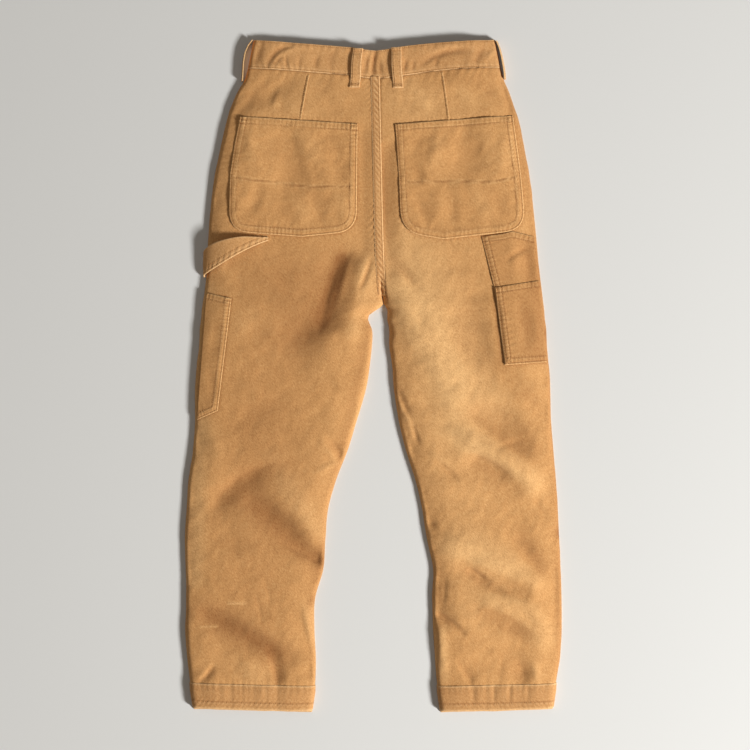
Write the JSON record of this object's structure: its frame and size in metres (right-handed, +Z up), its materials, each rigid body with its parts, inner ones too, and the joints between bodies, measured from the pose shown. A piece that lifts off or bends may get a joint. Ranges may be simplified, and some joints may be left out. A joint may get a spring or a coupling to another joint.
{
  "type": "work pants",
  "caption": "Canvas work pants laid flat, back side up, with patch pockets, tool pockets, a hammer loop, belt loops and turned-up cuffs.",
  "frame": {"origin": "on the surface the garment lies on, under the middle of its outline", "axes": "+X to the wearer's right as it lies on its front, +Y from the hems to the waist, +Z up out of the back"},
  "size_m": [0.5497, 0.9762, 0.0249],
  "materials": {
    "canvas": "matt cotton canvas, garment washed",
    "canvas_trim": "doubled matt cotton canvas with tone-on-tone stitching",
    "button": "aged metal"
  },
  "bodies": {
    "root": {"back_leg_left": "canvas", "back_leg_right": "canvas", "front_leg_left": "canvas", "front_leg_right": "canvas", "cuff_left": "canvas_trim", "cuff_right": "canvas_trim", "centre_back_seam": "canvas_trim", "waistband_back": "canvas_trim", "waistband_front_left": "canvas_trim", "waistband_front_right": "canvas_trim", "fly_shield": "canvas", "waist_button": "button", "back_pocket_left": "canvas", "back_pocket_right": "canvas", "tool_pocket_left": "canvas", "tool_pocket_right": "canvas", "tool_pocket_right_small": "canvas", "hammer_loop": "canvas_trim", "belt_loop_back_left": "canvas_trim", "belt_loop_back_right": "canvas_trim", "belt_loop_side_left": "canvas_trim", "belt_loop_side_right": "canvas_trim"}
  },
  "joints": []
}
